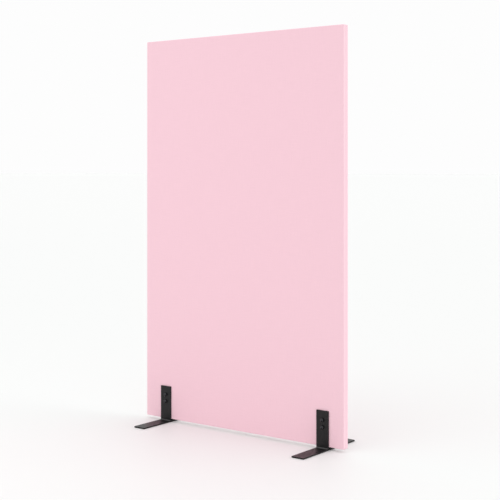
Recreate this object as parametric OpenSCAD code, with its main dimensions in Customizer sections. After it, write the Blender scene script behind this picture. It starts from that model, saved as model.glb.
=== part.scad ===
// Free-standing acoustic divider screen: an upholstered panel held upright by two
// welded steel feet that clamp its lower edge. Lengths are in millimetres. The
// origin is on the floor under the middle of the panel, X runs along the panel's
// width, Y through its thickness with the front face towards -Y, and Z is up.

/* [Panel] */
// Width of the upholstered panel
panel_w = 1000; // [600:10:1400]
// Height of the upholstered panel
panel_h = 1600; // [1000:10:2000]
// Radius of the panel's padded edges
edge_r = 3; // [2.5:0.5:5]
// Clearance between the base bars and the panel's lower edge
panel_gap = 7; // [4:0.5:30]

/* [Frame] */
// Thickness of the wooden frame and of the filling
frame_t = 24; // [18:1:40]
// Width of the frame's battens
batten_w = 45; // [40:1:50]
// Diameter of the wooden dowels
dowel_d = 8; // [6:1:10]
// Length of the wooden dowels
dowel_l = 40; // [30:1:50]
// Distance between the two dowels of a frame joint
dowel_pitch = 22; // [16:1:24]
// Bevel at the ends of a dowel
dowel_bevel = 1; // [0.5:0.1:2]
// Glue space left at each end of a dowel
dowel_end_gap = 1; // [0.5:0.1:3]
// How far a foot block reaches past the foot's middle line
block_reach = 50; // [35:1:80]
// How far a foot block reaches above the upper screw
block_margin = 30; // [20:1:60]

/* [Upholstery] */
// Thickness of the fleece wadding
wadding_t = 2; // [1:0.5:4]
// Thickness of the fabric cover
cover_t = 1; // [0.5:0.1:2]
// Width of the closing strip under the panel
strip_w = 20; // [16:1:22]
// Thickness of the closing strip
strip_t = 1; // [0.5:0.1:1.5]
// Distance from the panel's side to the end of the closing strip
strip_inset = 15; // [8:1:40]
// Distance from the end of the closing strip to its first staple
staple_inset = 20; // [8:1:40]
// Greatest distance between two staples
staple_pitch = 80; // [40:5:160]
// Width of a staple
staple_w = 10; // [8:0.5:12]
// Length of a staple's legs
staple_leg = 8; // [6:0.5:14]
// Thickness of the staple wire
staple_wire = 0.9; // [0.6:0.1:1.2]

/* [Feet] */
// From the panel's left side to the left foot's middle line
left_foot_inset = 112; // [90:1:200]
// From the panel's right side to the right foot's middle line
right_foot_inset = 94; // [90:1:200]
// Length of a base bar's toe, in front of the panel's middle plane
toe_l = 185; // [120:5:300]
// Length of a base bar's heel, behind the panel's middle plane
heel_l = 170; // [120:5:300]
// Width of the base bars and of the uprights
bar_w = 55; // [40:1:80]
// Thickness of the base bars
bar_t = 5; // [4:0.5:8]
// Thickness of the uprights
upright_t = 5; // [4:0.5:8]
// Height of the uprights above the base bars
upright_h = 144; // [130:1:220]
// Radius of the plates' free corners
corner_r = 2; // [1:0.5:8]
// Leg of the weld bead at the foot of an upright
weld_leg = 4; // [2:0.5:6]
// Length that a weld bead stays short of the upright's sides
weld_end = 2; // [0.5:0.5:8]

/* [Screws] */
// From the upright's top to the upper screw
screw_drop = 36; // [20:1:45]
// Distance between the two screws of an upright
screw_pitch = 28; // [24:1:36]
// Diameter of the screws
screw_d = 8; // [6:0.5:8]
// Length of the screws under the head
screw_l = 30; // [22:1:32]
// Diameter of the button heads
head_d = 14; // [13.5:0.5:18]
// Height of the button heads
head_h = 4.4; // [3.5:0.1:6]
// Height of the straight rim of a button head
head_rim = 0.8; // [0.3:0.1:1.2]
// Diameter of the flat on top of a button head
head_flat = 7.2; // [6.6:0.1:9]
// Width across the flats of the hexagon socket
socket_w = 5; // [4:0.5:5.5]
// Depth of the hexagon socket
socket_depth = 2.6; // [1.5:0.1:3]
// Diameter of the sleeve nuts' domed caps
cap_d = 16; // [14:0.5:19]
// Height of the domed caps
cap_h = 9; // [6:0.5:11]
// Height of the straight side of a domed cap
cap_rim = 4; // [1:0.5:5]
// Outer diameter of the sleeve nuts
sleeve_d = 10; // [9.5:0.5:11]
// Solid length left in a sleeve nut under its cap
sleeve_web = 4; // [2:0.5:5]
// Length that a sleeve nut stays short of the rear upright
sleeve_gap = 1; // [0.5:0.5:3]
// Play in diameter of the holes round the screws and the sleeve nuts
hole_play = 0.6; // [0.4:0.1:1]
// Play in diameter of the thread and of the glued dowels
fit_play = 0.1; // [0.05:0.05:0.3]

/* [Glides] */
// Diameter of the glide pads under the base bars
pad_d = 30; // [15:1:38]
// Thickness of the glide pads
pad_t = 1; // [1:0.5:4]
// From a base bar's end to the middle of its glide pad
pad_inset = 30; // [25:1:60]

/* [Hidden] */

// Sides: the front and the left lie towards the negative end of their axis
FRONT = -1;
REAR = 1;
LEFT = -1;
RIGHT = 1;

$fn = 48;
// Overrun of the cuts
cut = 1;

// The skin over the frame, and the thickness of the whole panel
skin_t = wadding_t + cover_t;
panel_t = frame_t + 2 * skin_t;

// Heights that the feet set
bar_top = pad_t + bar_t;
panel_lift = bar_top + panel_gap;
upper_screw_z = bar_top + upright_h - screw_drop;
screw_zs = [upper_screw_z - screw_pitch, upper_screw_z];

// The frame's outline and the battens' inner edges
frame_x = panel_w / 2 - skin_t;
frame_low = panel_lift + skin_t;
frame_high = panel_lift + panel_h - skin_t;
pocket_x = frame_x - batten_w;
rail_low = frame_low + batten_w / 2;
rail_high = frame_high - batten_w / 2;
rail_middle = (frame_low + frame_high) / 2;
rail_zs = [rail_low, rail_middle, rail_high];

// The foot blocks stand on the bottom rail, against the stiles
block_low = frame_low + batten_w;
block_high = upper_screw_z + block_margin;

// The bores that the sleeve nuts and the screws pass through
sleeve_bore_d = sleeve_d + hole_play;
screw_bore_d = screw_d + hole_play;

// The dome of a button head is a ball through the rim's edge and the flat's edge
dome_z = (pow(head_d / 2, 2) + pow(head_rim, 2) - pow(head_flat / 2, 2) - pow(head_h, 2))
    / (2 * (head_rim - head_h));
dome_r = norm([head_d / 2, head_rim - dome_z]);

// The dome of a cap is a ball through the edge of its straight side and its top
cap_dome_h = cap_h - cap_rim;
cap_dome_r = (pow(cap_d / 2, 2) + pow(cap_dome_h, 2)) / (2 * cap_dome_h);

// The staples stand in one even row along the closing strip
strip_x = panel_w / 2 - strip_inset;
strip_low = panel_lift - strip_t;
staple_x = strip_x - staple_inset;
staple_gaps = ceil(2 * staple_x / staple_pitch);
staple_step = 2 * staple_x / staple_gaps;

// The middle line of the foot on one side
function foot_x(side) =
    side == LEFT ? left_foot_inset - panel_w / 2 : panel_w / 2 - right_foot_inset;

// A box between its lowest and its highest corner
module box(low, high) {
    translate(low) cube(high - low);
}

// The panel's outline moved inwards by a depth, with round edges and corners
module panel_body(depth) {
    w = panel_w / 2 - edge_r;
    t = panel_t / 2 - edge_r;
    h = panel_h / 2 - edge_r;
    r = edge_r - depth;
    translate([0, 0, panel_lift + panel_h / 2]) {
        box([-w - r, -t, -h], [w + r, t, h]);
        box([-w, -t - r, -h], [w, t + r, h]);
        box([-w, -t, -h - r], [w, t, h + r]);
        for (x = [-w, w], y = [-t, t]) translate([x, y, -h]) cylinder(r = r, h = 2 * h);
        for (x = [-w, w], z = [-h, h])
            translate([x, t, z]) rotate([90, 0, 0]) cylinder(r = r, h = 2 * t);
        for (y = [-t, t], z = [-h, h])
            translate([-w, y, z]) rotate([0, 90, 0]) cylinder(r = r, h = 2 * w);
        for (x = [-w, w], y = [-t, t], z = [-h, h]) translate([x, y, z]) sphere(r);
    }
}

// Everything on the far side of the middle plane, to cut a shell in half
module other_half(side) {
    x = panel_w / 2 + cut;
    y = -side * (panel_t / 2 + cut);
    box([-x, min(0, y), panel_lift - cut], [x, max(0, y), panel_lift + panel_h + cut]);
}

// Straight bores through the panel at the screws of both feet
module clamp_bores(d, side) {
    for (z = screw_zs)
        translate([foot_x(side), 0, z])
            rotate([90, 0, 0])
                cylinder(d = d, h = 2 * (panel_t + upright_t), center = true);
}

module both_clamp_bores() {
    clamp_bores(sleeve_bore_d, LEFT);
    clamp_bores(sleeve_bore_d, RIGHT);
}

// A round dowel with bevelled ends, along Z
module dowel() {
    r = dowel_d / 2;
    l = dowel_l / 2;
    rotate_extrude()
        polygon([
            [0, -l], [r - dowel_bevel, -l], [r, dowel_bevel - l],
            [r, l - dowel_bevel], [r - dowel_bevel, l], [0, l]
        ]);
}

// The bore that a dowel is glued into, shared by the two pieces that it joins
module dowel_bore() {
    cylinder(d = dowel_d + fit_play, h = dowel_l + 2 * dowel_end_gap, center = true);
}

// Places its child on the dowels between the stile on one side and a rail
module at_frame_dowels(side, rail_z) {
    for (z = [-dowel_pitch / 2, dowel_pitch / 2])
        translate([side * pocket_x, 0, rail_z + z])
            rotate([0, 90, 0]) children();
}

// Places its child on the dowels between the bottom rail and a foot block: one
// stands clear of the frame's dowels, the other past the foot's middle line
module at_block_dowels(side) {
    outer_x = side * (pocket_x - dowel_l / 2 - dowel_end_gap - dowel_d);
    inner_x = foot_x(side) - side * block_reach / 2;
    for (x = [outer_x, inner_x]) translate([x, 0, block_low]) children();
}

module stile(side) {
    color("burlywood")
        difference() {
            box(
                [min(side * pocket_x, side * frame_x), -frame_t / 2, frame_low],
                [max(side * pocket_x, side * frame_x), frame_t / 2, frame_high]
            );
            for (z = rail_zs) at_frame_dowels(side, z) dowel_bore();
        }
}

module rail(z) {
    color("burlywood")
        difference() {
            box(
                [-pocket_x, -frame_t / 2, z - batten_w / 2],
                [pocket_x, frame_t / 2, z + batten_w / 2]
            );
            for (side = [LEFT, RIGHT]) at_frame_dowels(side, z) dowel_bore();
        }
}

// The lowest rail also takes the foot blocks' dowels and the strip's staples
module bottom_rail() {
    color("burlywood")
        difference() {
            rail(rail_low);
            for (side = [LEFT, RIGHT]) at_block_dowels(side) dowel_bore();
            staple_legs();
        }
}

// The block that the screws clamp, from the stile past the foot's middle line
module foot_block_outline(side) {
    outer_x = side * pocket_x;
    inner_x = foot_x(side) - side * block_reach;
    box(
        [min(outer_x, inner_x), -frame_t / 2, block_low],
        [max(outer_x, inner_x), frame_t / 2, block_high]
    );
}

module foot_block(side) {
    color("tan")
        difference() {
            foot_block_outline(side);
            clamp_bores(sleeve_bore_d, side);
            at_block_dowels(side) dowel_bore();
        }
}

module frame_dowels() {
    color("wheat")
        for (side = [LEFT, RIGHT], z = rail_zs) at_frame_dowels(side, z) dowel();
}

module block_dowels() {
    color("wheat")
        for (side = [LEFT, RIGHT]) at_block_dowels(side) dowel();
}

// Sound-absorbing slabs that fill the two pockets of the frame
module upper_core() {
    color("gainsboro")
        box(
            [-pocket_x, -frame_t / 2, rail_middle + batten_w / 2],
            [pocket_x, frame_t / 2, rail_high - batten_w / 2]
        );
}

module lower_core() {
    color("gainsboro")
        difference() {
            box(
                [-pocket_x, -frame_t / 2, rail_low + batten_w / 2],
                [pocket_x, frame_t / 2, rail_middle - batten_w / 2]
            );
            foot_block_outline(LEFT);
            foot_block_outline(RIGHT);
        }
}

// Fleece wrapped over one face of the frame and half-way round its edges
module wadding(side) {
    color("whitesmoke")
        difference() {
            panel_body(cover_t);
            box(
                [-frame_x, -frame_t / 2, frame_low],
                [frame_x, frame_t / 2, frame_high]
            );
            other_half(side);
            both_clamp_bores();
            staple_legs();
        }
}

// One half of the fabric cover, sewn to the other along the middle of the edges
module cover(side) {
    color([0.95, 0.78, 0.83])
        difference() {
            panel_body(0);
            panel_body(cover_t);
            other_half(side);
            both_clamp_bores();
            staple_legs();
        }
}

// Places its child at every staple, on the underside of the closing strip
module at_staples() {
    for (i = [0:staple_gaps])
        translate([i * staple_step - staple_x, 0, strip_low]) children();
}

// The staples' legs straddle the seam between the two halves of the cover
module staple_legs() {
    w = staple_wire / 2;
    at_staples()
        for (y = [-staple_w / 2 + w, staple_w / 2 - w])
            box([-w, y - w, -w], [w, y + w, staple_leg]);
}

module closing_strip() {
    color("silver")
        difference() {
            box([-strip_x, -strip_w / 2, strip_low], [strip_x, strip_w / 2, panel_lift]);
            staple_legs();
        }
}

module strip_staples() {
    w = staple_wire / 2;
    color("gray") {
        staple_legs();
        at_staples()
            box([-w, -staple_w / 2, -staple_wire], [w, staple_w / 2, 0]);
    }
}

// The outline of a plate: its first corners are square and the others round
module plate_outline(w, low, high, r, low_r) {
    translate([-w / 2 + r, low]) square([w - 2 * r, high - low]);
    translate([-w / 2, low + low_r]) square([w, high - low - low_r - r]);
    for (x = [r - w / 2, w / 2 - r]) {
        translate([x, high - r]) circle(r);
        if (low_r > 0) translate([x, low + r]) circle(r);
    }
}

// A flat bar on the floor, running under the panel from front to rear
module base_bar(side) {
    color([0.16, 0.16, 0.17])
        translate([foot_x(side), 0, pad_t])
            linear_extrude(bar_t)
                plate_outline(bar_w, -toe_l, heel_l, corner_r, corner_r);
}

// A plate that stands on the base bar and lies flat against the panel
module upright(side, face) {
    color([0.16, 0.16, 0.17])
        difference() {
            translate([foot_x(side), face * (panel_t + upright_t) / 2 + upright_t / 2, bar_top])
                rotate([90, 0, 0])
                    linear_extrude(upright_t)
                        plate_outline(bar_w, 0, upright_h, corner_r, 0);
            clamp_bores(face == FRONT ? sleeve_bore_d : screw_bore_d, side);
        }
}

// The convex fillets that join the two uprights of a foot to its base bar
module weld_beads(side) {
    l = bar_w / 2 - weld_end;
    color([0.2, 0.2, 0.21])
        for (face = [FRONT, REAR])
            translate([foot_x(side), face * (panel_t / 2 + upright_t), bar_top])
                intersection() {
                    rotate([0, 90, 0]) cylinder(r = weld_leg, h = 2 * l, center = true);
                    box(
                        [-l, min(0, face * weld_leg), 0],
                        [l, max(0, face * weld_leg), weld_leg]
                    );
                }
}

// A domed head with a hexagon socket, seated on the plane at zero
module button_head() {
    difference() {
        intersection() {
            cylinder(d = head_d, h = head_h);
            translate([0, 0, dome_z]) sphere(dome_r);
        }
        translate([0, 0, head_h - socket_depth])
            cylinder(d = socket_w / cos(30), h = socket_depth + cut, $fn = 6);
    }
}

// Places its child at the screws of a foot, on the outer side of one upright
module at_clamp(side, face) {
    for (z = screw_zs)
        translate([foot_x(side), face * (panel_t / 2 + upright_t), z])
            rotate([-90 * face, 0, 0]) children();
}

// Screws that pass through the rear upright into the sleeve nuts
module clamp_screws(side) {
    color([0.1, 0.1, 0.1])
        at_clamp(side, REAR) {
            button_head();
            translate([0, 0, -screw_l]) cylinder(d = screw_d, h = screw_l);
        }
}

// A smooth round cap with a domed top, seated on the plane at zero
module domed_cap() {
    intersection() {
        cylinder(d = cap_d, h = cap_h);
        translate([0, 0, cap_h - cap_dome_r]) sphere(cap_dome_r);
    }
}

// Cap nuts with a long threaded sleeve that reaches through the panel
module sleeve_nuts(side) {
    l = panel_t + upright_t - sleeve_gap;
    color([0.1, 0.1, 0.1])
        at_clamp(side, FRONT) {
            domed_cap();
            difference() {
                translate([0, 0, -l]) cylinder(d = sleeve_d, h = l);
                translate([0, 0, -l - cut])
                    cylinder(d = screw_d + fit_play, h = l + cut - sleeve_web);
            }
        }
}

module glide_pads(side) {
    color("dimgray")
        for (y = [pad_inset - toe_l, heel_l - pad_inset])
            translate([foot_x(side), y, 0]) cylinder(d = pad_d, h = pad_t);
}

stile(LEFT);  // frame_left_stile
stile(RIGHT);  // frame_right_stile
rail(rail_high);  // frame_top_rail
rail(rail_middle);  // frame_middle_rail
bottom_rail();  // frame_bottom_rail
foot_block(LEFT);  // left_foot_block
foot_block(RIGHT);  // right_foot_block
frame_dowels();
block_dowels();
upper_core();
lower_core();
wadding(FRONT);  // front_wadding
wadding(REAR);  // rear_wadding
cover(FRONT);  // front_cover
cover(REAR);  // rear_cover
closing_strip();
strip_staples();
base_bar(LEFT);  // left_base_bar
base_bar(RIGHT);  // right_base_bar
upright(LEFT, FRONT);  // left_front_upright
upright(LEFT, REAR);  // left_rear_upright
upright(RIGHT, FRONT);  // right_front_upright
upright(RIGHT, REAR);  // right_rear_upright
weld_beads(LEFT);  // left_weld_beads
weld_beads(RIGHT);  // right_weld_beads
clamp_screws(LEFT);  // left_clamp_screws
clamp_screws(RIGHT);  // right_clamp_screws
sleeve_nuts(LEFT);  // left_sleeve_nuts
sleeve_nuts(RIGHT);  // right_sleeve_nuts
glide_pads(LEFT);  // left_glide_pads
glide_pads(RIGHT);  // right_glide_pads
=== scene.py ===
"""A free-standing acoustic divider screen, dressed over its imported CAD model.

The file follows the screen as it is put together: the wooden frame with its dowels, foot
blocks and wool, the wadding, the fabric cover and its closing strip, then the steel feet
with their welds, screws, nuts and glide pads, and last the studio floor, light and camera.
Lengths are in metres. The origin is on the floor under the middle of the panel, X runs
along its width, Y from its front face to its rear, and Z is up.
"""
import math

import bpy
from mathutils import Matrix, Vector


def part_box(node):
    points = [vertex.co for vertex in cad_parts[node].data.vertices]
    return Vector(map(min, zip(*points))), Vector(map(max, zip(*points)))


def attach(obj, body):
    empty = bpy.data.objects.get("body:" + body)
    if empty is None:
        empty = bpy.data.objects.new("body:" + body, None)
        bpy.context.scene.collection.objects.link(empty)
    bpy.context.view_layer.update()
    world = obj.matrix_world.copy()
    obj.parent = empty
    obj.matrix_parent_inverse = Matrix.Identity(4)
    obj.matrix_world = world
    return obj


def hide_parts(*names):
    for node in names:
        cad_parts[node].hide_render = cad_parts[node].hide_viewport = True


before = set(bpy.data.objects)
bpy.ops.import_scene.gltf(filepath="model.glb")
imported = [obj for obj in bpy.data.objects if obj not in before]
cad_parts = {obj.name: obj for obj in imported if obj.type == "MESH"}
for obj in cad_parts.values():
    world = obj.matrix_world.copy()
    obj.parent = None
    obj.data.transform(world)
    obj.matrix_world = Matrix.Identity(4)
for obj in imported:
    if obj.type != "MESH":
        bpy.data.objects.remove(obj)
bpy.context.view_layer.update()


# The wooden frame: two stiles and three rails of spruce, planed square to 45 by 24 mm,
# cut to length, drilled and butted together. The year rings are seen as fine lines along
# each batten and as arcs on its ends. It stays unfinished, because the cover hides it.
RING_WIDTH = 0.0028
FIBRE_WIDTH = 0.0006
# The log's pith lies outside the batten, so the rings cross its ends as arcs
PITH_BEHIND = 0.055
PITH_ASIDE = 0.03
# How much a pattern is drawn out along the grain
ALONG_GRAIN = 0.02
# The distance between two bands of a wave texture whose scale is 1
WAVE_REPEAT = 0.314


def linear(code):
    """A colour written as sRGB hex digits, as the linear colour that a shader takes."""
    parts = [int(code[i:i + 2], 16) / 255 for i in (0, 2, 4)]
    return [
        c / 12.92 if c <= 0.04045 else ((c + 0.055) / 1.055) ** 2.4 for c in parts
    ] + [1]


def start_finish(name, **sockets):
    """A new material whose surface shader has these values in its sockets."""
    finish = bpy.data.materials.new(name)
    finish.use_nodes = True
    shader = finish.node_tree.nodes["Principled BSDF"]
    for socket, value in sockets.items():
        shader.inputs[socket.replace("_", " ")].default_value = value
    return finish, shader


def add_node(finish, kind, settings=None, links=None):
    """Adds a node to a material, with its settings and with the outputs that feed it. A
    socket goes by its name, or by its number where several share a name."""
    node = finish.node_tree.nodes.new(kind)
    for key, value in (settings or {}).items():
        if isinstance(key, int) or key in node.inputs:
            node.inputs[key].default_value = value
        else:
            setattr(node, key, value)
    for key, source in (links or {}).items():
        finish.node_tree.links.new(source, node.inputs[key])
    return node


def lay_on(finish, shader, colour=None, roughness=None, height=None, depth=0.001):
    """Leads a colour, a roughness and a surface height into a material's shader."""
    links = finish.node_tree.links
    if colour:
        links.new(colour, shader.inputs["Base Color"])
    if roughness:
        links.new(roughness, shader.inputs["Roughness"])
    if height:
        bump = add_node(finish, "ShaderNodeBump", {"Distance": depth}, {"Height": height})
        links.new(bump.outputs["Normal"], shader.inputs["Normal"])


def planed_spruce(name, along):
    """Planed spruce whose grain runs along the X or the Z axis: pale, dry and matt, with
    thin brown latewood lines between wide bands of cream earlywood."""
    finish, shader = start_finish(name, Roughness=0.62, IOR=1.5)
    place = add_node(finish, "ShaderNodeTexCoord").outputs["Object"]
    pith = {"X": (0, PITH_BEHIND, PITH_ASIDE), "Z": (PITH_ASIDE, PITH_BEHIND, 0)}[along]
    centred = add_node(finish, "ShaderNodeMapping", {"Location": pith}, {"Vector": place})
    rings = add_node(
        finish, "ShaderNodeTexWave",
        {"wave_type": "RINGS", "rings_direction": along, "wave_profile": "SAW",
         "Scale": WAVE_REPEAT / RING_WIDTH,
         "Distortion": 1.5, "Detail": 1, "Detail Scale": 0.2},
        {"Vector": centred.outputs[0]},
    )
    stretch = {"X": (ALONG_GRAIN, 1, 1), "Z": (1, 1, ALONG_GRAIN)}[along]
    drawn = add_node(finish, "ShaderNodeMapping", {"Scale": stretch}, {"Vector": place})
    fibres = add_node(
        finish, "ShaderNodeTexNoise", {"Scale": 1 / FIBRE_WIDTH, "Detail": 3},
        {"Vector": drawn.outputs[0]},
    )
    tone = add_node(
        finish, "ShaderNodeMix", {"data_type": "RGBA", "Factor": 0.25},
        {6: rings.outputs["Color"], 7: fibres.outputs["Color"]},
    )
    wood = add_node(finish, "ShaderNodeValToRGB", {}, {"Fac": tone.outputs[2]})
    ramp = wood.color_ramp
    ramp.elements[0].position, ramp.elements[0].color = 0.25, linear("E3C79B")
    ramp.elements[1].position, ramp.elements[1].color = 0.85, linear("B98A55")
    ramp.elements.new(0.62).color = linear("D9B885")
    lay_on(finish, shader, wood.outputs[0], height=fibres.outputs["Fac"], depth=0.0001)
    return finish


def dress(finish, *nodes):
    """Gives CAD nodes, whose shape is right as it is, a material in all their slots."""
    for node in nodes:
        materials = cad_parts[node].data.materials
        materials.clear()
        materials.append(finish)


dress(planed_spruce("planed_spruce_upright", "Z"), "frame_left_stile", "frame_right_stile")
dress(
    planed_spruce("planed_spruce_level", "X"),
    "frame_top_rail", "frame_middle_rail", "frame_bottom_rail",
)


# The foot blocks: birch plywood, 24 mm thick, sawn to size and drilled for the sleeve nuts,
# which keeps the clamp screws from crushing the filling. They stand on the bottom rail
# between the plates of the feet. Their sawn edges show light and dark plies.
PLY = 0.0014
VENEER_FIBRE = 0.0014

birch_plywood, shader = start_finish("birch_plywood", Roughness=0.55, IOR=1.5)
place = add_node(birch_plywood, "ShaderNodeTexCoord").outputs["Object"]
plies = add_node(
    birch_plywood, "ShaderNodeTexWave",
    {"bands_direction": "Y", "wave_profile": "TRI", "Scale": WAVE_REPEAT / (2 * PLY)},
    {"Vector": place},
)
drawn = add_node(
    birch_plywood, "ShaderNodeMapping", {"Scale": (0.05, 1, 1)}, {"Vector": place}
)
veneer = add_node(
    birch_plywood, "ShaderNodeTexNoise", {"Scale": 1 / VENEER_FIBRE, "Detail": 4},
    {"Vector": drawn.outputs[0]},
)
tone = add_node(
    birch_plywood, "ShaderNodeMix", {"data_type": "RGBA", "Factor": 0.35},
    {6: plies.outputs["Color"], 7: veneer.outputs["Color"]},
)
wood = add_node(birch_plywood, "ShaderNodeValToRGB", {}, {"Fac": tone.outputs[2]})
wood.color_ramp.elements[0].position = 0.3
wood.color_ramp.elements[0].color = linear("B8905F")
wood.color_ramp.elements[1].position = 0.6
wood.color_ramp.elements[1].color = linear("E0C394")
lay_on(
    birch_plywood, shader, wood.outputs[0], height=veneer.outputs["Fac"], depth=0.00008
)
dress(birch_plywood, "left_foot_block", "right_foot_block")


# The dowels: turned beech, 8 by 40 mm, with bevelled ends, glued into the frame's joints
# and under the foot blocks. Beech is dense and even, with short dark flecks.
FLECK = 0.0007

turned_beech, shader = start_finish("turned_beech", Roughness=0.5, IOR=1.5)
place = add_node(turned_beech, "ShaderNodeTexCoord").outputs["Object"]
flecks = add_node(
    turned_beech, "ShaderNodeTexVoronoi", {"Scale": 1 / FLECK, "Randomness": 0.9},
    {"Vector": place},
)
wood = add_node(
    turned_beech, "ShaderNodeValToRGB", {}, {"Fac": flecks.outputs["Distance"]}
)
wood.color_ramp.elements[0].position = 0.05
wood.color_ramp.elements[0].color = linear("A9764C")
wood.color_ramp.elements[1].position = 0.3
wood.color_ramp.elements[1].color = linear("DDB58A")
lay_on(
    turned_beech, shader, wood.outputs[0], height=flecks.outputs["Distance"], depth=0.00005
)
dress(turned_beech, "frame_dowels", "block_dowels")


# The filling: two slabs of polyester wool, 24 mm thick, cut with a blade and pushed into
# the frame's pockets, where they swallow sound. The lower one is notched round the foot
# blocks. The cut edges are soft, and the surface is a tangle of pale grey fibres.
SLAB_EDGE = 0.003
WOOL_TUFT = 0.004
# How far a cutter reaches past what it cuts
OVERRUN = 0.01
# Places closer than this are one place
NEAR = 1e-5

cut_wool, shader = start_finish(
    "thermobonded_polyester_wool", Roughness=1.0, IOR=1.45,
    Sheen_Weight=0.4, Sheen_Roughness=0.5,
)
place = add_node(cut_wool, "ShaderNodeTexCoord").outputs["Object"]
tangle = add_node(
    cut_wool, "ShaderNodeTexNoise",
    {"Scale": 1 / WOOL_TUFT, "Detail": 8, "Roughness": 0.75, "Distortion": 1.5},
    {"Vector": place},
)
wool = add_node(cut_wool, "ShaderNodeValToRGB", {}, {"Fac": tangle.outputs["Fac"]})
wool.color_ramp.elements[0].position = 0.3
wool.color_ramp.elements[0].color = linear("A9A9A6")
wool.color_ramp.elements[1].position = 0.7
wool.color_ramp.elements[1].color = linear("DEDEDB")
lay_on(cut_wool, shader, wool.outputs[0], height=tangle.outputs["Fac"], depth=0.001)


def pick(kind, chosen):
    """Selects the faces, edges or verts that chosen accepts of the piece in edit mode."""
    bpy.ops.mesh.select_mode(type=kind)
    bpy.ops.mesh.select_all(action="DESELECT")
    bpy.ops.object.mode_set(mode="OBJECT")
    mesh = bpy.context.object.data
    parts = {"FACE": mesh.polygons, "EDGE": mesh.edges, "VERT": mesh.vertices}[kind]
    for part in parts:
        part.select = bool(chosen(part))
    bpy.ops.object.mode_set(mode="EDIT")


def ends(edge):
    """The places of an edge's two ends."""
    vertices = bpy.context.object.data.vertices
    return [vertices[i].co for i in edge.vertices]


def start_block(name, low, high):
    """A new block between two corners, to be shaped into a piece or to cut one."""
    bpy.ops.object.select_all(action="DESELECT")
    bpy.ops.mesh.primitive_cube_add(size=1)
    block = bpy.context.object
    block.name = block.data.name = name
    block.location = [(a + b) / 2 for a, b in zip(low, high)]
    block.scale = [b - a for a, b in zip(low, high)]
    bpy.ops.object.transform_apply(location=True, rotation=True, scale=True)
    return block


def apply_modifier(piece, kind, **settings):
    """Adds a modifier with its settings to a piece and applies it."""
    modifier = piece.modifiers.new("step", kind)
    for key, value in settings.items():
        setattr(modifier, key, value)
    bpy.context.view_layer.objects.active = piece
    bpy.ops.object.modifier_apply(modifier=modifier.name)


def cut_away(piece, *cutters):
    """Takes the space of other solids out of a piece, and removes them."""
    for cutter in cutters:
        apply_modifier(
            piece, "BOOLEAN", object=cutter, operation="DIFFERENCE", solver="EXACT"
        )
        bpy.data.objects.remove(cutter)


def smooth(piece, degrees=35):
    """Shades a piece smooth, apart from edges sharper than an angle, with flat faces kept
    flat up to their bevels."""
    bpy.ops.object.select_all(action="DESELECT")
    piece.select_set(True)
    bpy.context.view_layer.objects.active = piece
    bpy.ops.object.shade_smooth_by_angle(angle=math.radians(degrees))
    apply_modifier(piece, "WEIGHTED_NORMAL", keep_sharp=True)


def hand_over(piece, finish, slot, *nodes):
    """Makes a finished shape a piece of the screen, in place of the nodes it shows."""
    piece.data.materials.clear()
    piece.data.materials.append(finish)
    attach(piece, "root")
    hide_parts(*nodes)


for node, blocks in (
    ("upper_core", ()), ("lower_core", ("left_foot_block", "right_foot_block")),
):
    low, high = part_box(node)
    slab = start_block(node.replace("core", "wool_slab"), low, high)
    for block in blocks:
        # The notch starts outside the slab where the block is flush with it
        start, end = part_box(block)
        start = [a - OVERRUN if a < edge + NEAR else a for a, edge in zip(start, low)]
        end = [b + OVERRUN if b > edge - NEAR else b for b, edge in zip(end, high)]
        cut_away(slab, start_block("notch", start, end))
    apply_modifier(
        slab, "BEVEL", width=SLAB_EDGE, segments=3, limit_method="ANGLE",
        angle_limit=math.radians(40),
    )
    smooth(slab)
    hand_over(slab, cut_wool, "core_wool", node)


# The wadding: a needled fleece of white polyester, fuzzy like thin felt, over each face of
# the frame. Each sheet is cut to 1.024 by 1.624 m, folded half-way round the frame's edges
# and glued, so that no batten shows through the cover.
WADDING = 0.002
WADDING_EDGE = 0.002
WADDING_LIP = 0.0003
# The share of its thickness that the pull of the cover leaves
PRESSED = 0.95
FLEECE_FIBRE = 0.0015
# The sleeve nuts pass through it in two holes at the middle of each foot
FEET = (-0.388, 0.406)
SCREW_HEIGHTS = (0.086, 0.114)
SLEEVE_HOLE = 0.0106

needled_fleece, shader = start_finish(
    "needled_polyester_fleece", Roughness=1.0, IOR=1.45,
    Sheen_Weight=0.5, Sheen_Roughness=0.5,
)
place = add_node(needled_fleece, "ShaderNodeTexCoord").outputs["Object"]
fibres = add_node(
    needled_fleece, "ShaderNodeTexNoise",
    {"Scale": 1 / FLEECE_FIBRE, "Detail": 6, "Roughness": 0.7, "Distortion": 2},
    {"Vector": place},
)
fleece = add_node(
    needled_fleece, "ShaderNodeValToRGB", {}, {"Fac": fibres.outputs["Fac"]}
)
fleece.color_ramp.elements[0].position = 0.3
fleece.color_ramp.elements[0].color = linear("D8D8D4")
fleece.color_ramp.elements[1].position = 0.7
fleece.color_ramp.elements[1].color = linear("F4F4F1")
lay_on(
    needled_fleece, shader, fleece.outputs[0], height=fibres.outputs["Fac"], depth=0.0003
)


def start_rod(name, diameter, ends_y, place, sides=32):
    """A new round rod along Y between two depths, to be shaped or to cut a hole."""
    bpy.ops.object.select_all(action="DESELECT")
    bpy.ops.mesh.primitive_cylinder_add(
        vertices=sides, radius=diameter / 2, depth=ends_y[1] - ends_y[0],
        location=(place[0], (ends_y[0] + ends_y[1]) / 2, place[1]),
        rotation=(math.pi / 2, 0, 0),
    )
    rod = bpy.context.object
    rod.name = rod.data.name = name
    bpy.ops.object.transform_apply(location=True, rotation=True, scale=True)
    return rod


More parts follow.
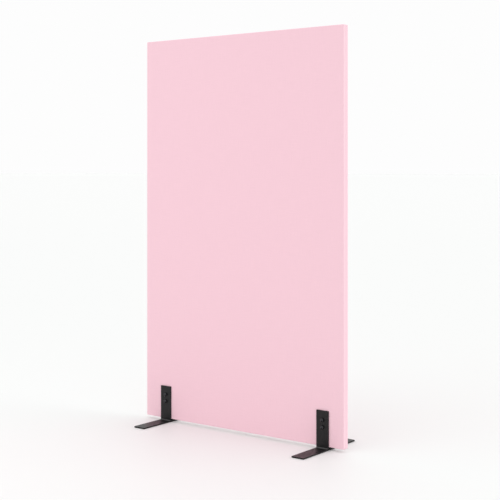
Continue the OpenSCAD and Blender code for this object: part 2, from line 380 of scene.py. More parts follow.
def wrap_half(name, node, edge, thickness, lip, lines_x=(), lines_z=(), shape=None):
    """A sheet pulled over one face of the panel and round its edges as far as the seam.

    It fills the node's box, with round edges of the radius edge, and its rim at the seam
    has a bevel of the width lip. The face gets extra lines at lines_x and lines_z, and
    shape gives how far a point of the face stands out.
    """
    low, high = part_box(node)
    face_y, seam_y = (low.y, high.y) if abs(low.y) > abs(high.y) else (high.y, low.y)
    out = math.copysign(1, face_y)
    middle_z = (low.z + high.z) / 2
    half_w, half_h = (high.x - low.x) / 2, (high.z - low.z) / 2

    def depth(point):
        """How far inside the panel's rounded outline a point lies."""
        x = abs(point[0]) - half_w + edge
        z = abs(point[2] - middle_z) - half_h + edge
        return edge - math.hypot(max(x, 0), max(z, 0)) - min(max(x, z), 0)

    bpy.ops.object.select_all(action="DESELECT")
    bpy.ops.mesh.primitive_grid_add(x_subdivisions=32, y_subdivisions=52, size=1)
    sheet = bpy.context.object
    sheet.name = sheet.data.name = name
    sheet.location = (0, face_y, middle_z)
    sheet.rotation_euler = (-out * math.pi / 2, 0, 0)
    sheet.scale = (2 * half_w, 2 * half_h, 1)
    bpy.ops.object.transform_apply(location=True, rotation=True, scale=True)
    bpy.ops.object.mode_set(mode="EDIT")
    cuts = [((x, 0, 0), (1, 0, 0)) for x in lines_x]
    cuts += [((0, 0, z), (0, 0, 1)) for z in lines_z]
    for place, across in cuts:
        bpy.ops.mesh.select_all(action="SELECT")
        bpy.ops.mesh.bisect(plane_co=place, plane_no=across)
    bpy.ops.mesh.select_all(action="SELECT")
    bpy.ops.mesh.region_to_loop()
    bpy.ops.mesh.extrude_edges_move(
        TRANSFORM_OT_translate={"value": (0, seam_y - face_y, 0)}
    )
    bpy.ops.mesh.select_all(action="SELECT")
    bpy.ops.mesh.remove_doubles(threshold=NEAR)
    bpy.ops.mesh.normals_make_consistent(inside=False)

    def on_arris(line):
        """Whether a line is in the face's outline or in a corner of the panel's edge."""
        a, b = ends(line)
        at_side = abs(abs(a.x + b.x) / 2 - half_w) < NEAR
        at_top = abs(abs((a.z + b.z) / 2 - middle_z) - half_h) < NEAR
        if abs(a.y - b.y) < NEAR:
            return abs(a.y - face_y) < NEAR and (at_side or at_top)
        return at_side and at_top

    pick("EDGE", on_arris)
    bpy.ops.mesh.bevel(offset=edge, segments=5, affect="EDGES", clamp_overlap=False)
    bpy.ops.object.mode_set(mode="OBJECT")
    apply_modifier(
        sheet, "SOLIDIFY", thickness=thickness, offset=-1, use_even_offset=True,
    )
    bpy.ops.object.mode_set(mode="EDIT")
    pick("EDGE", lambda line: all(
        abs(p.y - seam_y) < NEAR and depth(p) < thickness / 2 for p in ends(line)
    ))
    bpy.ops.mesh.bevel(offset=lip, segments=2, affect="EDGES")
    bpy.ops.object.mode_set(mode="OBJECT")
    cut_away(sheet, *[
        start_rod("punch", SLEEVE_HOLE, (low.y - OVERRUN, high.y + OVERRUN), (x, z))
        for x in FEET for z in SCREW_HEIGHTS
    ])
    if shape:
        for vertex in sheet.data.vertices:
            p = vertex.co
            if depth(p) > 2 * edge and abs(p.y - face_y) < 0.5 * thickness:
                p.y += out * shape(p)
    unrolled = sheet.data.uv_layers.new(name="cloth")
    for face in sheet.data.polygons:
        n = face.normal
        for corner in face.loop_indices:
            p = sheet.data.vertices[sheet.data.loops[corner].vertex_index].co
            u, v = p.x, p.z
            if abs(n.x) > max(abs(n.y), abs(n.z)):
                u = math.copysign(half_w + abs(p.y - face_y), p.x)
            elif abs(n.z) > abs(n.y):
                v = middle_z + math.copysign(half_h + abs(p.y - face_y), p.z - middle_z)
            unrolled.data[corner].uv = (u, v)
    smooth(sheet, 50)
    return sheet


for node in ("front_wadding", "rear_wadding"):
    sheet = wrap_half(
        node.replace("wadding", "fleece"), node, WADDING_EDGE, PRESSED * WADDING,
        WADDING_LIP,
    )
    hand_over(sheet, needled_fleece, "fleece", node)


# The fabric cover: two sheets of pale pink polyester crepe, each 1.03 by 1.63 m, pulled
# tight and sewn together along the middle of the panel's edges in a fine groove. The cloth
# is matt, with a weave too fine to see from a few steps away, and swells at the uprights.
COVER = 0.001
PANEL_EDGE = 0.003
SEAM_LIP = 0.0006
# It stands out most at a small distance from a plate that presses it in, then falls back
SWELL = 0.0005
SWELL_RISE = 0.002
SWELL_FALL = 0.012
SWELL_STEPS = (0, 0.002, 0.005, 0.01, 0.018, 0.03)
# The real threads are 0.5 mm apart. They are drawn 1.2 mm apart, to show in a close view.
THREAD = 0.0012
SLUB_LENGTH = 0.03
# A painted highlight: the cloth is painted paler round the panel's arrises, and a little
# paler over the panel's edges up to the seam. Each pair is a share of the way from the
# start of the bend to the seam, and the share of the paler pink there.
ARRIS_HIGHLIGHT_PINK = "FBDAE3"
SIDE_HIGHLIGHT_SHARE = 0.3
ARRIS_HIGHLIGHT_STEPS = ((0.14, 0), (0.2, 1), (0.33, 1), (0.42, SIDE_HIGHLIGHT_SHARE))

pink_crepe, shader = start_finish(
    "woven_polyester_crepe", Roughness=0.85, IOR=1.45,
    Sheen_Weight=0.05, Sheen_Roughness=0.5, Specular_IOR_Level=0.25,
)
cloth = add_node(pink_crepe, "ShaderNodeUVMap", {"uv_map": "cloth"}).outputs[0]
wander = add_node(
    pink_crepe, "ShaderNodeTexNoise", {"Scale": 1 / (6 * THREAD), "Detail": 1},
    {"Vector": cloth},
)
drift = add_node(
    pink_crepe, "ShaderNodeVectorMath",
    {"operation": "MULTIPLY_ADD", 1: (THREAD, THREAD, 0)},
    {0: wander.outputs["Color"], 2: cloth},
)
turns = add_node(
    pink_crepe, "ShaderNodeVectorMath", {"operation": "SCALE", "Scale": math.pi / THREAD},
    {0: drift.outputs[0]},
)
swing = add_node(
    pink_crepe, "ShaderNodeVectorMath", {"operation": "SINE"}, {0: turns.outputs[0]}
)
split = add_node(pink_crepe, "ShaderNodeSeparateXYZ", {}, {0: swing.outputs[0]})
weave = add_node(
    pink_crepe, "ShaderNodeMath", {"operation": "MULTIPLY"},
    {0: split.outputs["X"], 1: split.outputs["Y"]},
)
slubs = []
for scale in ((1 / SLUB_LENGTH, 1 / THREAD, 1), (1 / THREAD, 1 / SLUB_LENGTH, 1)):
    lain = add_node(pink_crepe, "ShaderNodeMapping", {"Scale": scale}, {"Vector": cloth})
    slubs.append(add_node(
        pink_crepe, "ShaderNodeTexNoise", {"Scale": 0.5, "Detail": 2},
        {"Vector": lain.outputs[0]},
    ).outputs["Fac"])
threads = add_node(
    pink_crepe, "ShaderNodeMath", {"operation": "ADD"}, {0: slubs[0], 1: slubs[1]}
)
height = add_node(
    pink_crepe, "ShaderNodeMath", {"operation": "MULTIPLY_ADD", 1: 0.35},
    {0: weave.outputs[0], 2: threads.outputs[0]},
)
# The cloth's colour follows the weave's height: painted shade makes it a little darker in
# the weave's valleys, and its tone varies along the slubs
valley_shade_and_slub_tone = add_node(
    pink_crepe, "ShaderNodeMapRange", {"From Min": 0.4, "From Max": 1.6},
    {"Value": height.outputs[0]},
)
pink = add_node(pink_crepe, "ShaderNodeValToRGB", {}, {"Fac": valley_shade_and_slub_tone.outputs[0]})
pink.color_ramp.elements[0].color = linear("F2CAD5")
pink.color_ramp.elements[1].color = linear("F8D0DB")

low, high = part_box("front_cover")
apart = add_node(pink_crepe, "ShaderNodeSeparateXYZ", {}, {0: cloth})
highlight_masks = []
for axis, start, end in (("X", low.x, high.x), ("Y", low.z, high.z)):
    off_centre = add_node(
        pink_crepe, "ShaderNodeMath", {"operation": "SUBTRACT", 1: (start + end) / 2},
        {0: apart.outputs[axis]},
    )
    reach = add_node(
        pink_crepe, "ShaderNodeMath", {"operation": "ABSOLUTE"},
        {0: off_centre.outputs[0]},
    )
    bend = add_node(
        pink_crepe, "ShaderNodeMapRange",
        {"From Min": (end - start) / 2 - PANEL_EDGE,
         "From Max": (end - start) / 2 + high.y - low.y},
        {"Value": reach.outputs[0]},
    )
    highlight_ramp = add_node(pink_crepe, "ShaderNodeValToRGB", {}, {"Fac": bend.outputs[0]})
    highlight_ramp.color_ramp.elements[0].color = (0, 0, 0, 1)
    highlight_ramp.color_ramp.elements[1].color = [SIDE_HIGHLIGHT_SHARE] * 3 + [1]
    for position, share in ARRIS_HIGHLIGHT_STEPS:
        highlight_ramp.color_ramp.elements.new(position).color = [share] * 3 + [1]
    highlight_masks.append(highlight_ramp.outputs["Color"])
# The painted highlight: the larger of the two masks, across the width and up the height
arris_highlight = add_node(
    pink_crepe, "ShaderNodeMath", {"operation": "MAXIMUM"}, {0: highlight_masks[0], 1: highlight_masks[1]}
)
# Mixes the paler pink of the painted highlight into the cloth's colour
highlighted_pink = add_node(
    pink_crepe, "ShaderNodeMix", {"data_type": "RGBA", 7: linear(ARRIS_HIGHLIGHT_PINK)},
    {0: arris_highlight.outputs[0], 6: pink.outputs[0]},
)
lay_on(pink_crepe, shader, highlighted_pink.outputs[2], height=height.outputs[0], depth=0.00015)

upright_boxes = [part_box("left_front_upright"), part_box("right_front_upright")]
lines_x = [low.x - step for low, high in upright_boxes for step in SWELL_STEPS]
lines_x += [high.x + step for low, high in upright_boxes for step in SWELL_STEPS]
lines_z = [upright_boxes[0][1].z + step for step in SWELL_STEPS]


def swell(point):
    """How far the cover stands out beside the nearest upright, which presses it in."""
    away = 1.0
    for low, high in upright_boxes:
        x = max(low.x - point.x, point.x - high.x, 0)
        away = min(away, math.hypot(x, max(point.z - high.z, 0)))
    return SWELL * (1 - math.exp(-away / SWELL_RISE)) * math.exp(-away / SWELL_FALL)


for node in ("front_cover", "rear_cover"):
    sheet = wrap_half(
        node.replace("cover", "fabric"), node, PANEL_EDGE, COVER, SEAM_LIP,
        lines_x, lines_z, swell,
    )
    hand_over(sheet, pink_crepe, "cover_fabric", node)


# The closing strip: a ribbon of spunbonded fleece, nearly white with a tinge of pink, 20 mm
# wide and 0.97 m long, over the cover's hem and seam under the panel. Its surface has the
# small pressed dots that bond its fibres. Each staple draws it in a little.
STRIP = 0.0008
STRIP_EDGE = 0.00025
STAPLES = 13
STAPLE_PITCH = 0.0775
STAPLE_PLACES = [(i - STAPLES // 2) * STAPLE_PITCH for i in range(STAPLES)]
DIMPLE = 0.0002
DIMPLE_REACH = 0.006
DIMPLE_STEPS = (-0.003, -0.001, 0.001, 0.003)
BOND_DOT = 0.0016
FIBRE_TANGLE = 0.00065

spunbond, shader = start_finish(
    "spunbonded_polypropylene", Roughness=0.8, IOR=1.49,
    Sheen_Weight=0.15, Sheen_Roughness=0.5,
)
place = add_node(spunbond, "ShaderNodeTexCoord").outputs["Object"]
dots = add_node(
    spunbond, "ShaderNodeTexVoronoi", {"Scale": 1 / BOND_DOT, "Randomness": 0.15},
    {"Vector": place},
)
matting = add_node(
    spunbond, "ShaderNodeTexNoise",
    {"Scale": 1 / FIBRE_TANGLE, "Detail": 4, "Distortion": 2}, {"Vector": place},
)
shade = add_node(
    spunbond, "ShaderNodeMath", {"operation": "MULTIPLY_ADD", 1: 0.4},
    {0: matting.outputs["Fac"], 2: dots.outputs["Distance"]},
)
tinge = add_node(spunbond, "ShaderNodeValToRGB", {}, {"Fac": shade.outputs[0]})
tinge.color_ramp.elements[0].position = 0.25
tinge.color_ramp.elements[0].color = linear("F2E4E7")
tinge.color_ramp.elements[1].position = 0.6
tinge.color_ramp.elements[1].color = linear("FAEEF0")
lay_on(spunbond, shader, tinge.outputs[0], height=shade.outputs[0], depth=0.0002)

low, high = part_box("closing_strip")
bpy.ops.object.select_all(action="DESELECT")
bpy.ops.mesh.primitive_grid_add(x_subdivisions=120, y_subdivisions=6, size=1)
strip = bpy.context.object
strip.name = strip.data.name = "hem_strip"
strip.location = (0, 0, high.z - STRIP)
strip.rotation_euler = (math.pi, 0, 0)
strip.scale = (high.x - low.x, high.y - low.y, 1)
bpy.ops.object.transform_apply(location=True, rotation=True, scale=True)
bpy.ops.object.mode_set(mode="EDIT")
for x in STAPLE_PLACES:
    for step in DIMPLE_STEPS:
        bpy.ops.mesh.select_all(action="SELECT")
        bpy.ops.mesh.bisect(plane_co=(x + step, 0, 0), plane_no=(1, 0, 0))
bpy.ops.object.mode_set(mode="OBJECT")
for vertex in strip.data.vertices:
    away = min(abs(vertex.co.x - x) for x in STAPLE_PLACES)
    vertex.co.z -= DIMPLE * (1 - math.exp(-away / DIMPLE_REACH))
apply_modifier(strip, "SOLIDIFY", thickness=STRIP, offset=-1)
apply_modifier(
    strip, "BEVEL", width=STRIP_EDGE, segments=2, limit_method="ANGLE",
    angle_limit=math.radians(60),
)
smooth(strip, 50)
hand_over(strip, spunbond, "strip_fabric", "closing_strip")


# The staples: thirteen of galvanised wire, 10 mm wide with 8 mm legs, shot through strip
# and hem into the bottom rail. The wire is nearly square, with round bends and legs cut to
# a chisel, and the zinc gives it a cloudy grey gloss.
WIRE = 0.0009
WIRE_EDGE = 0.0001
WIRE_BEND = 0.6 * WIRE
CHISEL = 2 * WIRE
SPANGLE = 0.00085

galvanised_wire, shader = start_finish(
    "galvanised_steel_wire", Base_Color=linear("A9ABAD"), Metallic=1.0, Roughness=0.35,
)
place = add_node(galvanised_wire, "ShaderNodeTexCoord").outputs["Object"]
spangle = add_node(
    galvanised_wire, "ShaderNodeTexNoise", {"Scale": 1 / SPANGLE, "Detail": 2},
    {"Vector": place},
)
gloss = add_node(
    galvanised_wire, "ShaderNodeMapRange", {"To Min": 0.28, "To Max": 0.5},
    {"Value": spangle.outputs["Fac"]},
)
lay_on(galvanised_wire, shader, roughness=gloss.outputs[0])

low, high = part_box("strip_staples")
staple = start_block("staple", (-WIRE / 2, low.y, low.z), (WIRE / 2, high.y, low.z + WIRE))
bpy.ops.object.mode_set(mode="EDIT")
for y in (low.y + WIRE, high.y - WIRE):
    bpy.ops.mesh.select_all(action="SELECT")
    bpy.ops.mesh.bisect(plane_co=(0, y, 0), plane_no=(0, 1, 0))
pick("FACE", lambda face: face.normal.z > 0.9 and abs(face.center.y) > high.y - WIRE)
bpy.ops.mesh.extrude_region_move(
    TRANSFORM_OT_translate={"value": (0, 0, high.z - low.z - WIRE)}
)
pick("EDGE", lambda line: all(
    abs(abs(p.y) - high.y) < NEAR and abs(p.z - low.z) < NEAR for p in ends(line)
))
bpy.ops.mesh.bevel(offset=WIRE_BEND, segments=3, affect="EDGES")
pick("EDGE", lambda line: all(
    abs(abs(p.y) - high.y) < NEAR and abs(p.z - high.z) < NEAR for p in ends(line)
))
bpy.ops.transform.translate(value=(0, 0, -CHISEL))
bpy.ops.object.mode_set(mode="OBJECT")
apply_modifier(
    staple, "BEVEL", width=WIRE_EDGE, segments=1, limit_method="ANGLE",
    angle_limit=math.radians(50),
)


def place_copy(model, name, x, y, z, turn):
    """A copy of a model with its own mesh, turned about Z and moved to its place."""
    bpy.ops.object.select_all(action="DESELECT")
    copy = model.copy()
    copy.data = model.data.copy()
    copy.name = copy.data.name = name
    bpy.context.scene.collection.objects.link(copy)
    copy.location = (x, y, z)
    copy.rotation_euler = (0, 0, turn)
    copy.select_set(True)
    bpy.context.view_layer.objects.active = copy
    bpy.ops.object.transform_apply(location=True, rotation=True, scale=True)
    return copy


copies = [place_copy(staple, "staple", x, 0, 0, 0) for x in STAPLE_PLACES]
bpy.data.objects.remove(staple)
for copy in copies:
    copy.select_set(True)
bpy.context.view_layer.objects.active = copies[0]
bpy.ops.object.join()
row = bpy.context.object
row.name = row.data.name = "staple_row"
smooth(row, 50)
hand_over(row, galvanised_wire, "staple_wire", "strip_staples")


# The base bars: flat steel, 55 by 5 mm, cut to 355 mm with slightly round corners and
# deburred. Each lies on two pads and runs under the panel. The powder coat is a satin black
# with the look of a very fine orange peel.
BAR_CORNER = 0.002
COATED_EDGE = 0.0006
# The ripple of a powder coat that has flowed in the oven
PEEL = 0.0025

black_powder_coat, shader = start_finish(
    "satin_black_powder_coat", Base_Color=linear("121212"), Roughness=0.42, IOR=1.5,
    Specular_IOR_Level=0.3,
)
place = add_node(black_powder_coat, "ShaderNodeTexCoord").outputs["Object"]
peel = add_node(
    black_powder_coat, "ShaderNodeTexNoise", {"Scale": 1 / PEEL, "Detail": 2},
    {"Vector": place},
)
gloss = add_node(
    black_powder_coat, "ShaderNodeMapRange", {"To Min": 0.36, "To Max": 0.46},
    {"Value": peel.outputs["Fac"]},
)
lay_on(
    black_powder_coat, shader, roughness=gloss.outputs[0], height=peel.outputs["Fac"],
    depth=0.00004,
)

for node in ("left_base_bar", "right_base_bar"):
    low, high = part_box(node)
    bar = start_block(node.replace("_base", "_coated"), low, high)
    bpy.ops.object.mode_set(mode="EDIT")
    pick("EDGE", lambda line: abs(ends(line)[0].z - ends(line)[1].z) > NEAR)
    bpy.ops.mesh.bevel(offset=BAR_CORNER, segments=5, affect="EDGES")
    bpy.ops.object.mode_set(mode="OBJECT")
    apply_modifier(
        bar, "BEVEL", width=COATED_EDGE, segments=3, limit_method="ANGLE",
        angle_limit=math.radians(50),
    )
    smooth(bar)
    hand_over(bar, black_powder_coat, "foot_steel", node)


# The uprights: plates of the same steel, 55 by 5 mm and 144 mm high, with two round corners
# at the top and two drilled holes. They stand square on the base bar against the cover,
# a rear one with holes for the screws, a front one with larger holes for the sleeve nuts.
SCREW_HOLE = 0.0086
# Lines round each hole keep the shading of the plate's face even
HOLE_FIELD = 0.012

for node in (
    "left_front_upright", "left_rear_upright", "right_front_upright", "right_rear_upright",
):
    low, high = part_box(node)
    plate = start_block(node.replace("upright", "plate"), low, high)
    bpy.ops.object.mode_set(mode="EDIT")
    pick("EDGE", lambda line: (
        abs(ends(line)[0].y - ends(line)[1].y) > NEAR
        and ends(line)[0].z > high.z - NEAR
    ))
    bpy.ops.mesh.bevel(offset=BAR_CORNER, segments=5, affect="EDGES")
    middle_x = (low.x + high.x) / 2
    for side in (-HOLE_FIELD, HOLE_FIELD):
        cuts = [((middle_x + side, 0, 0), (1, 0, 0))]
        cuts += [((0, 0, z + side), (0, 0, 1)) for z in SCREW_HEIGHTS]
        for place, across in cuts:
            bpy.ops.mesh.select_all(action="SELECT")
            bpy.ops.mesh.bisect(plane_co=place, plane_no=across)
    bpy.ops.object.mode_set(mode="OBJECT")
    hole = SLEEVE_HOLE if "front" in node else SCREW_HOLE
    cut_away(plate, *[
        start_rod("drill", hole, (low.y - OVERRUN, high.y + OVERRUN), (middle_x, z))
        for z in SCREW_HEIGHTS
    ])
    apply_modifier(
        plate, "BEVEL", width=COATED_EDGE, segments=3, limit_method="ANGLE",
        angle_limit=math.radians(50),
    )
    smooth(plate)
    hand_over(plate, black_powder_coat, "foot_steel", node)


# The weld beads: one run of steel along the foot of each upright, laid by hand and coated
# with the foot. Each shows the ripples of the weld pool, about 2.5 mm apart, and thins out
# at both ends. Their coat is a little glossier and is painted a lighter grey than the
# foot's, a painted highlight that shows the joint as a lighter line.
WELD_LEG = 0.004
WELD_TAPER = 0.004
# Shares of the leg: the bead's size at its ends, and the depth of a ripple
WELD_END = 0.45
RIPPLE_DEPTH = 0.1
RIPPLE = 0.0025

# A lighter grey than the foot's coat: a painted highlight along the joint
painted_highlight_weld_coat, shader = start_finish(
    "weld_coat_painted_highlight", Base_Color=linear("3A3A3A"), Roughness=0.3, IOR=1.5
)
place = add_node(painted_highlight_weld_coat, "ShaderNodeTexCoord").outputs["Object"]
spatter = add_node(
    painted_highlight_weld_coat, "ShaderNodeTexNoise", {"Scale": 1 / RIPPLE, "Detail": 3}, {"Vector": place}
)
gloss = add_node(
    painted_highlight_weld_coat, "ShaderNodeMapRange", {"To Min": 0.24, "To Max": 0.36},
    {"Value": spatter.outputs["Fac"]},
)
lay_on(
    painted_highlight_weld_coat, shader, roughness=gloss.outputs[0], height=spatter.outputs["Fac"],
    depth=0.00006,
)

for node in ("left_weld_beads", "right_weld_beads"):
    low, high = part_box(node)
    for side, corner_y in (("front", low.y + WELD_LEG), ("rear", high.y - WELD_LEG)):
        length = high.x - low.x
        steps = round(length / (RIPPLE / 4))
        bpy.ops.object.select_all(action="DESELECT")
        bpy.ops.mesh.primitive_circle_add(
            vertices=32, radius=WELD_LEG, fill_type="NGON",
            location=(low.x, corner_y, low.z), rotation=(0, math.pi / 2, 0),
        )
        bead = bpy.context.object
        bead.name = bead.data.name = node.replace("beads", side)
        bpy.ops.object.transform_apply(location=True, rotation=True, scale=True)
        bpy.ops.object.mode_set(mode="EDIT")
        for across in ((0, 0, -1), (0, 1 if side == "front" else -1, 0)):
            bpy.ops.mesh.select_all(action="SELECT")
            bpy.ops.mesh.bisect(
                plane_co=(low.x, corner_y, low.z), plane_no=across, clear_outer=True
            )
            bpy.ops.mesh.select_all(action="SELECT")
            bpy.ops.mesh.edge_face_add()
        bpy.ops.mesh.select_all(action="SELECT")
        bpy.ops.mesh.remove_doubles(threshold=NEAR)
        bpy.ops.mesh.select_all(action="SELECT")
        for i in range(steps):
            bpy.ops.mesh.extrude_region_move(
                TRANSFORM_OT_translate={"value": (length / steps, 0, 0)}
            )
        bpy.ops.mesh.select_all(action="SELECT")
        bpy.ops.mesh.normals_make_consistent(inside=False)
        bpy.ops.object.mode_set(mode="OBJECT")
        for vertex in bead.data.vertices:
            along = vertex.co.x - low.x
            from_end = min(along, length - along)
            growth = math.sqrt(max(0, from_end) / WELD_TAPER)
            size = min(1, WELD_END + (1 - WELD_END) * growth)
            size *= 1 - RIPPLE_DEPTH * abs(math.cos(math.pi * along / RIPPLE))
            vertex.co.y = corner_y + (vertex.co.y - corner_y) * size
            vertex.co.z = low.z + (vertex.co.z - low.z) * size
        smooth(bead, 60)
        hand_over(bead, painted_highlight_weld_coat, "foot_steel", node)


# The clamp screws: 8 mm button-head screws, 30 mm long, cold-formed with a domed head and a
# hexagon socket. Two at each rear upright go into the sleeve nuts and clamp both uprights
# to the panel. They are blackened, which leaves the steel its gloss in a very dark grey.
HEAD = 0.014
HEAD_HEIGHT = 0.0044
HEAD_RIM = 0.0008
HEAD_FLAT = 0.0072
HEAD_EDGE = 0.00025
SOCKET = 0.005
SOCKET_DEPTH = 0.0026
SCREW = 0.008
SCREW_LENGTH = 0.030
CHAMFER = 0.0008
OXIDE_GRAIN = 0.0011

black_oxide, shader = start_finish(
    "black_oxide_steel", Base_Color=linear("3C3C3E"), Metallic=1.0, Roughness=0.25,
)
place = add_node(black_oxide, "ShaderNodeTexCoord").outputs["Object"]
grain = add_node(
    black_oxide, "ShaderNodeTexNoise", {"Scale": 1 / OXIDE_GRAIN, "Detail": 3},
    {"Vector": place},
)
gloss = add_node(
    black_oxide, "ShaderNodeMapRange", {"To Min": 0.2, "To Max": 0.32},
    {"Value": grain.outputs["Fac"]},
)
lay_on(
    black_oxide, shader, roughness=gloss.outputs[0], height=grain.outputs["Fac"],
    depth=0.00002,
)


def turn_piece(name, rings):
    """A solid turned about the Y axis, whose outline passes through the given rings, each
    with its depth and its radius, from the shank's end to the top of the head."""
    at_y, at_radius = rings[0]
    bpy.ops.object.select_all(action="DESELECT")
    bpy.ops.mesh.primitive_circle_add(vertices=48, radius=at_radius)
    piece = bpy.context.object
    piece.name = piece.data.name = name
    piece.location = (0, at_y, 0)
    piece.rotation_euler = (math.pi / 2, 0, 0)
    bpy.ops.object.transform_apply(location=True, rotation=True, scale=True)
    bpy.ops.object.mode_set(mode="EDIT")
    bpy.ops.mesh.edge_face_add()
    for ring_y, radius in rings[1:]:
        bpy.ops.mesh.extrude_region_move(
            TRANSFORM_OT_translate={"value": (0, ring_y - at_y, 0)}
        )
        bpy.ops.transform.resize(
            value=[radius / at_radius] * 3, center_override=(0, ring_y, 0)
        )
        at_y, at_radius = ring_y, radius
    bpy.ops.mesh.select_all(action="SELECT")
    bpy.ops.mesh.normals_make_consistent(inside=False)
    bpy.ops.object.mode_set(mode="OBJECT")
    return piece


def dome_rings(edge, flat, rim, height, steps):
    """The rings of a ball-shaped dome, from the edge of its straight rim to its flat."""
    rise = height - rim
    centre = (edge ** 2 - flat ** 2 - rise ** 2) / (2 * rise)
    ball = math.hypot(edge, centre)
    radii = [edge + (flat - edge) * i / steps for i in range(1, steps + 1)]
    return [(centre - rim - math.sqrt(ball ** 2 - r ** 2), r) for r in radii]


screw = turn_piece("clamp_screw", [
    (SCREW_LENGTH, SCREW / 2 - CHAMFER), (SCREW_LENGTH - CHAMFER, SCREW / 2),
    (0, SCREW / 2), (0, HEAD / 2), (-HEAD_RIM, HEAD / 2),
] + dome_rings(HEAD / 2, HEAD_FLAT / 2, HEAD_RIM, HEAD_HEIGHT, 8))
cut_away(screw, start_rod(
    "key", SOCKET / math.cos(math.pi / 6),
    (-HEAD_HEIGHT - SOCKET, SOCKET_DEPTH - HEAD_HEIGHT), (0, 0), sides=6,
))
apply_modifier(
    screw, "BEVEL", width=HEAD_EDGE, segments=2, limit_method="ANGLE",
    angle_limit=math.radians(40),
)
smooth(screw, 40)
for side in ("left", "right"):
    low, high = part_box(side + "_rear_upright")
    for z, level in zip(SCREW_HEIGHTS, ("lower", "upper")):
        middle_x = (low.x + high.x) / 2
        copy = place_copy(screw, f"{side}_{level}_screw", middle_x, high.y, z, math.pi)
        hand_over(copy, black_oxide, "screw_steel", side + "_clamp_screws")
bpy.data.objects.remove(screw)


# The sleeve nuts: the screws' counterparts at the front, turned in one piece with a smooth
# round cap, 16 mm across and 9 mm high, on a threaded sleeve 10 mm thick that reaches
# through the panel, so that screw and nut meet inside.
CAP = 0.016
CAP_HEIGHT = 0.009
CAP_RIM = 0.004
CAP_TIP = CAP / 20
SLEEVE = 0.010
SLEEVE_LENGTH = 0.034
SLEEVE_WEB = 0.004
THREAD_PLAY = 0.0001

nut = turn_piece("sleeve_nut", [
    (SLEEVE_LENGTH, SLEEVE / 2 - CHAMFER), (SLEEVE_LENGTH - CHAMFER, SLEEVE / 2),
    (0, SLEEVE / 2), (0, CAP / 2), (-CAP_RIM, CAP / 2),
] + dome_rings(CAP / 2, CAP_TIP / 2, CAP_RIM, CAP_HEIGHT, 16))
apply_modifier(
    nut, "BEVEL", width=HEAD_EDGE, segments=2, limit_method="ANGLE",
    angle_limit=math.radians(40),
)
cut_away(nut, start_rod(
    "thread", SCREW + THREAD_PLAY, (SLEEVE_WEB, SLEEVE_LENGTH + OVERRUN), (0, 0)
))
smooth(nut, 40)
for side in ("left", "right"):
    low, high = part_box(side + "_front_upright")
    for z, level in zip(SCREW_HEIGHTS, ("lower", "upper")):
        middle_x = (low.x + high.x) / 2
        copy = place_copy(nut, f"{side}_{level}_nut", middle_x, low.y, z, 0)
        hand_over(copy, black_oxide, "screw_steel", side + "_sleeve_nuts")
bpy.data.objects.remove(nut)


# The glide pads: discs of black rubber, 30 mm across and 1 mm thick, moulded with a round
# edge and a shallow recess, and glued under the ends of the base bars to save the floor.
# The rubber is dull and has a chalky bloom.
PAD = 0.030
PAD_EDGE = 0.0003
PAD_RIM = 0.004
RECESS = 0.0003
RECESS_SLOPE = 0.0006
CHALK = 0.0011

black_rubber, shader = start_finish(
    "black_sheet_rubber", Base_Color=linear("2A2A2A"), Roughness=0.8, IOR=1.52,
)
place = add_node(black_rubber, "ShaderNodeTexCoord").outputs["Object"]
chalk = add_node(
    black_rubber, "ShaderNodeTexNoise", {"Scale": 1 / CHALK, "Detail": 5},
    {"Vector": place},
)
dull = add_node(
    black_rubber, "ShaderNodeMapRange", {"To Min": 0.7, "To Max": 0.9},
    {"Value": chalk.outputs["Fac"]},
)
lay_on(
    black_rubber, shader, roughness=dull.outputs[0], height=chalk.outputs["Fac"],
    depth=0.00005,
)

for side in ("left", "right"):
    low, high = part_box(side + "_glide_pads")
    for end, y in (("toe", low.y + PAD / 2), ("heel", high.y - PAD / 2)):
        bpy.ops.object.select_all(action="DESELECT")
        bpy.ops.mesh.primitive_cylinder_add(
            vertices=64, radius=PAD / 2, depth=high.z - low.z,
            location=((low.x + high.x) / 2, y, (low.z + high.z) / 2),
        )
        pad = bpy.context.object
        pad.name = pad.data.name = f"{side}_{end}_pad"
        bpy.ops.object.transform_apply(location=True, rotation=True, scale=True)
        bpy.ops.object.mode_set(mode="EDIT")
        pick("FACE", lambda face: face.normal.z < -0.9)
        bpy.ops.mesh.inset(thickness=PAD_RIM)
        bpy.ops.mesh.inset(thickness=RECESS_SLOPE)
        bpy.ops.transform.translate(value=(0, 0, RECESS))
        bpy.ops.object.mode_set(mode="OBJECT")
        apply_modifier(
            pad, "BEVEL", width=PAD_EDGE, segments=2, limit_method="ANGLE",
            angle_limit=math.radians(60),
        )
        smooth(pad, 40)
        hand_over(pad, black_rubber, "glide_rubber", side + "_glide_pads")


# The studio: a plain white floor with a slight sheen that runs on as far as the eye
# reaches, under a white sky with broad soft lights, as in a white cove. One smaller softbox
# stands near the panel's left end and makes it a little brighter.
FLOOR = 400
SKY_STRENGTH = 0.983

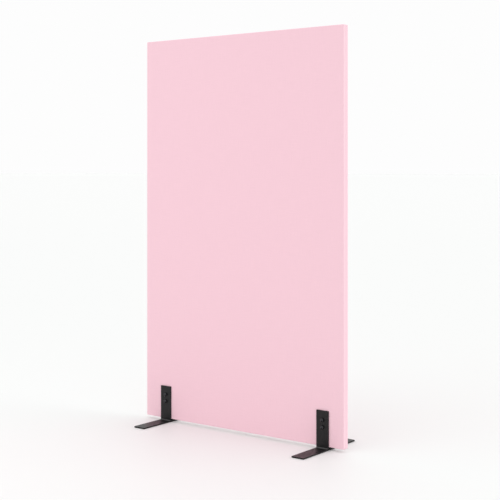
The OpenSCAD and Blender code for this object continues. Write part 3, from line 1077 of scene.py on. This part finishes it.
white_floor, shader = start_finish(
    "satin_white_floor", Base_Color=linear("EFF0EF"), Roughness=0.55, IOR=1.5
)
bpy.ops.object.select_all(action="DESELECT")
bpy.ops.mesh.primitive_plane_add(size=FLOOR)
floor = bpy.context.object
floor.name = floor.data.name = "studio_floor"
floor.data.materials.append(white_floor)

sky = bpy.data.worlds.new("white_studio")
sky.use_nodes = True
background = sky.node_tree.nodes["Background"]
background.inputs["Color"].default_value = (1, 1, 1, 1)
background.inputs["Strength"].default_value = SKY_STRENGTH
bpy.context.scene.world = sky

# Each broad light by the direction that it comes from, its spread in degrees, its strength
for name, azimuth, elevation, spread, strength in (
    ("front_softbox", 0, 60, 30, 0.133),
    ("right_softbox", 100, 35, 25, 0.163),
    ("low_right_softbox", 100, 15, 25, 0.178),
    ("high_right_softbox", 120, 60, 30, 0.128),
    ("overhead_softbox", 210, 72, 20, 0.072),
):
    lamp = bpy.data.lights.new(name, "SUN")
    lamp.energy = strength
    lamp.angle = math.radians(spread)
    holder = bpy.data.objects.new(name, lamp)
    holder.rotation_euler = (math.radians(90 - elevation), 0, math.radians(azimuth))
    bpy.context.scene.collection.objects.link(holder)

lamp = bpy.data.lights.new("near_softbox", "AREA")
lamp.size = 1.2
lamp.energy = 3.9
holder = bpy.data.objects.new("near_softbox", lamp)
holder.location = (-1.2, -2.6, 1.6)
# Turned to the middle of the panel
holder.rotation_euler = (1.2984, 0, -0.4324)
holder.visible_camera = False
bpy.context.scene.collection.objects.link(holder)

bpy.context.scene.view_settings.view_transform = "Standard"
bpy.context.scene.view_settings.look = "None"

# The camera stands 4.5 m away, level at 1.07 m, turned 37 degrees from the panel's front,
# and its lens is shifted down to take in the feet.
lens = bpy.data.cameras.new("camera")
lens.lens = 80.6
lens.sensor_width = 36
lens.shift_y = -0.1623
camera = bpy.data.objects.new("camera", lens)
camera.location = (2.7697, -3.5718, 1.0690)
camera.rotation_euler = (math.pi / 2, 0, 0.6516)
bpy.context.scene.collection.objects.link(camera)
bpy.context.scene.camera = camera
